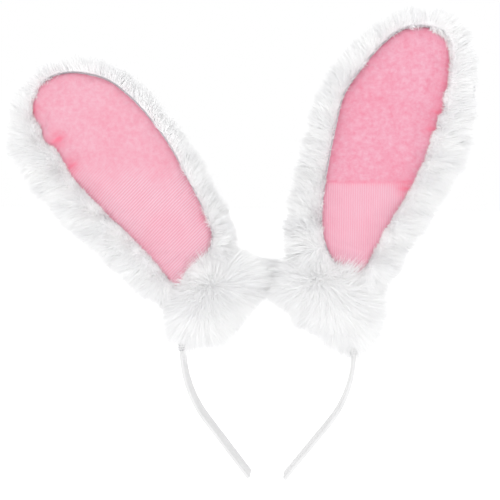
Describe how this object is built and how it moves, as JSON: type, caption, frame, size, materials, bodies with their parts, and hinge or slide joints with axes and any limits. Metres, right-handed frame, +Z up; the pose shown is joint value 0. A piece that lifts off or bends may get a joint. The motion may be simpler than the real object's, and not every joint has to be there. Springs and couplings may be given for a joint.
{
  "type": "animal ears headband",
  "caption": "Narrow satin-covered headband with long furry animal ears, pink satin fronts, inner wire loops that bend, and gathered fur cuffs at the feet.",
  "frame": {"origin": "the middle of the band's inner face at the crown, where it rests on the head", "axes": "+Z up, -Y to the front where the pink panels face, +X towards the right-hand ear as seen from the front"},
  "size_m": [0.3325, 0.0436, 0.3265],
  "materials": {
    "white_fur": "matte",
    "cuff_fur": "matte",
    "pink_satin": "satin",
    "white_satin": "satin",
    "white_plastic": "satin",
    "wadding": "matte",
    "steel_wire": "satin",
    "binding_thread": "matte"
  },
  "bodies": {
    "head_span": {"band_core_crown": "white_plastic", "band_ribbon_crown": "white_satin", "left_wire_winding": "steel_wire", "left_binding_thread": "binding_thread", "left_fur_cuff": "cuff_fur", "right_wire_winding": "steel_wire", "right_binding_thread": "binding_thread", "right_fur_cuff": "cuff_fur"},
    "left_arm": {"band_core_left_arm": "white_plastic", "band_ribbon_left_arm": "white_satin", "left_ribbon_end_fold": "white_satin"},
    "left_ear_stem": {"left_wire_stem_lower": "steel_wire"},
    "left_ear": {"left_wire_stem_upper": "steel_wire", "left_wire_loop_lower": "steel_wire", "left_fur_back_lower": "white_fur", "left_fur_border_lower": "white_fur", "left_pink_panel_lower": "pink_satin", "left_wadding_lower": "wadding"},
    "left_ear_tip": {"left_wire_loop_upper": "steel_wire", "left_fur_back_upper": "white_fur", "left_fur_border_upper": "white_fur", "left_pink_panel_upper": "pink_satin", "left_wadding_upper": "wadding"},
    "right_arm": {"band_core_right_arm": "white_plastic", "band_ribbon_right_arm": "white_satin", "right_ribbon_end_fold": "white_satin"},
    "right_ear_stem": {"right_wire_stem_lower": "steel_wire"},
    "right_ear": {"right_wire_stem_upper": "steel_wire", "right_wire_loop_lower": "steel_wire", "right_fur_back_lower": "white_fur", "right_fur_border_lower": "white_fur", "right_pink_panel_lower": "pink_satin", "right_wadding_lower": "wadding"},
    "right_ear_tip": {"right_wire_loop_upper": "steel_wire", "right_fur_back_upper": "white_fur", "right_fur_border_upper": "white_fur", "right_pink_panel_upper": "pink_satin", "right_wadding_upper": "wadding"}
  },
  "joints": [
    {"name": "left_arm_flex", "type": "hinge", "parent": "head_span", "child": "left_arm", "pos_m": [-0.06097, 0, -0.06173], "axis": [0, 1, 0], "range_deg": [0, 20], "stiffness_Nm_per_rad": 1},
    {"name": "left_ear_lean", "type": "hinge", "parent": "head_span", "child": "left_ear_stem", "pos_m": [-0.0416, 0, -0.01494], "axis": [0, -1, 0], "range_deg": [-15, 20]},
    {"name": "left_ear_tilt", "type": "hinge", "parent": "left_ear_stem", "child": "left_ear", "pos_m": [-0.04748, 0, -0.00685], "axis": [0.809, 0, 0.5878], "range_deg": [-35, 35]},
    {"name": "left_ear_bend", "type": "hinge", "parent": "left_ear", "child": "left_ear_tip", "pos_m": [-0.10743, 0, 0.07567], "axis": [0.809, 0, 0.5878], "range_deg": [-20, 55]},
    {"name": "right_arm_flex", "type": "hinge", "parent": "head_span", "child": "right_arm", "pos_m": [0.06097, 0, -0.06173], "axis": [0, -1, 0], "range_deg": [0, 20], "stiffness_Nm_per_rad": 1},
    {"name": "right_ear_lean", "type": "hinge", "parent": "head_span", "child": "right_ear_stem", "pos_m": [0.0416, 0, -0.01494], "axis": [0, 1, 0], "range_deg": [-15, 20]},
    {"name": "right_ear_tilt", "type": "hinge", "parent": "right_ear_stem", "child": "right_ear", "pos_m": [0.04502, 0, -0.00554], "axis": [0.9397, 0, -0.342], "range_deg": [-35, 35]},
    {"name": "right_ear_bend", "type": "hinge", "parent": "right_ear", "child": "right_ear_tip", "pos_m": [0.07991, 0, 0.09031], "axis": [0.9397, 0, -0.342], "range_deg": [-20, 55]}
  ]
}
